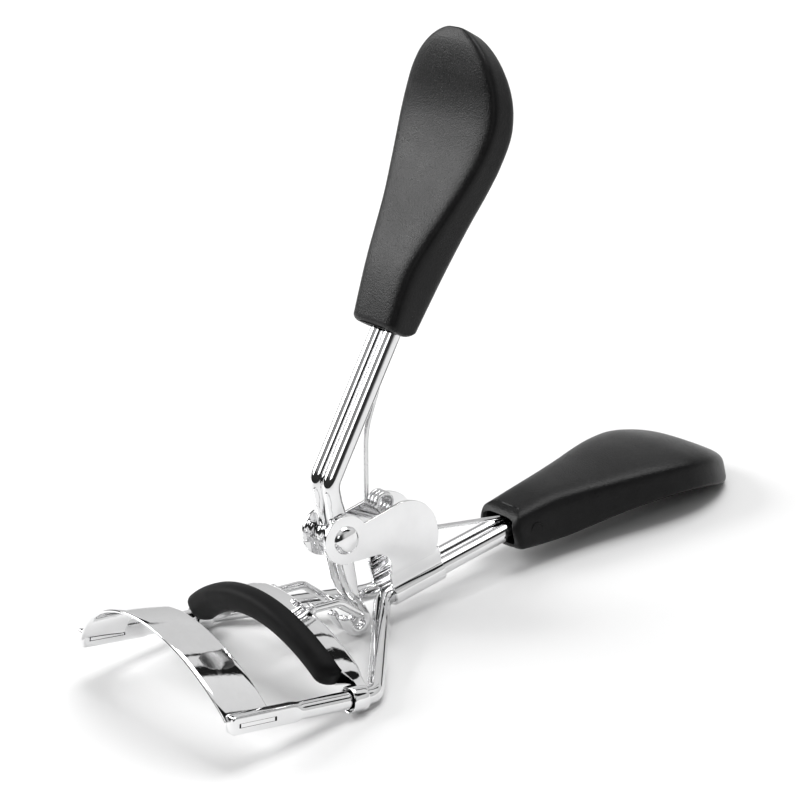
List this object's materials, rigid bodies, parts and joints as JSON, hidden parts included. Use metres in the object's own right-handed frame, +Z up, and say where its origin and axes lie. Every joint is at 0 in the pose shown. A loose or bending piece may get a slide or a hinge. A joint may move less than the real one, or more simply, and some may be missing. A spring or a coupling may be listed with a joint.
{
  "type": "eyelash curler",
  "caption": "Hand-held eyelash curler: squeezing the black paddle handles slides a padded jaw along guide rails against an arched plate.",
  "frame": {"origin": "centre of the bounding box's base, on the table the tool lies on", "axes": "+X across the jaw to the tool's right, +Y from the jaw to the handle tips, +Z up from the table"},
  "size_m": [0.0416, 0.0984, 0.0777],
  "materials": {
    "polished_steel": "bright nickel-plated wire and sheet",
    "spring_steel": "bright drawn spring wire",
    "handle_plastic": "satin moulded plastic with a fine grain",
    "pad_rubber": "matt soft rubber"
  },
  "bodies": {
    "frame": {"frame_wire_right": "polished_steel", "frame_wire_left": "polished_steel", "front_plate": "polished_steel", "bracket": "polished_steel", "pivot_rivet": "polished_steel", "lower_handle": "handle_plastic", "return_spring": "spring_steel"},
    "lever": {"lever_wire_right": "polished_steel", "lever_wire_left": "polished_steel", "upper_handle": "handle_plastic"},
    "jaw": {"pusher_plate": "polished_steel", "lash_pad": "pad_rubber", "drive_link": "polished_steel"}
  },
  "joints": [
    {"name": "lever_hinge", "type": "hinge", "parent": "frame", "child": "lever", "pos_m": [0, -0.01756, 0.01522], "axis": [-1, 0, 0], "range_deg": [0, 48.1], "stiffness_Nm_per_rad": 0.1, "springref_deg": -17.19, "deforming": ["return_spring"]},
    {"name": "jaw_slide", "type": "slide", "parent": "frame", "child": "jaw", "axis": [0, -0.9733, 0.2297], "range_m": [0, 0.00905]}
  ],
  "couplings": [
    {"joint": "jaw_slide", "follows": "lever_hinge", "m_per_rad": 0.01078}
  ]
}
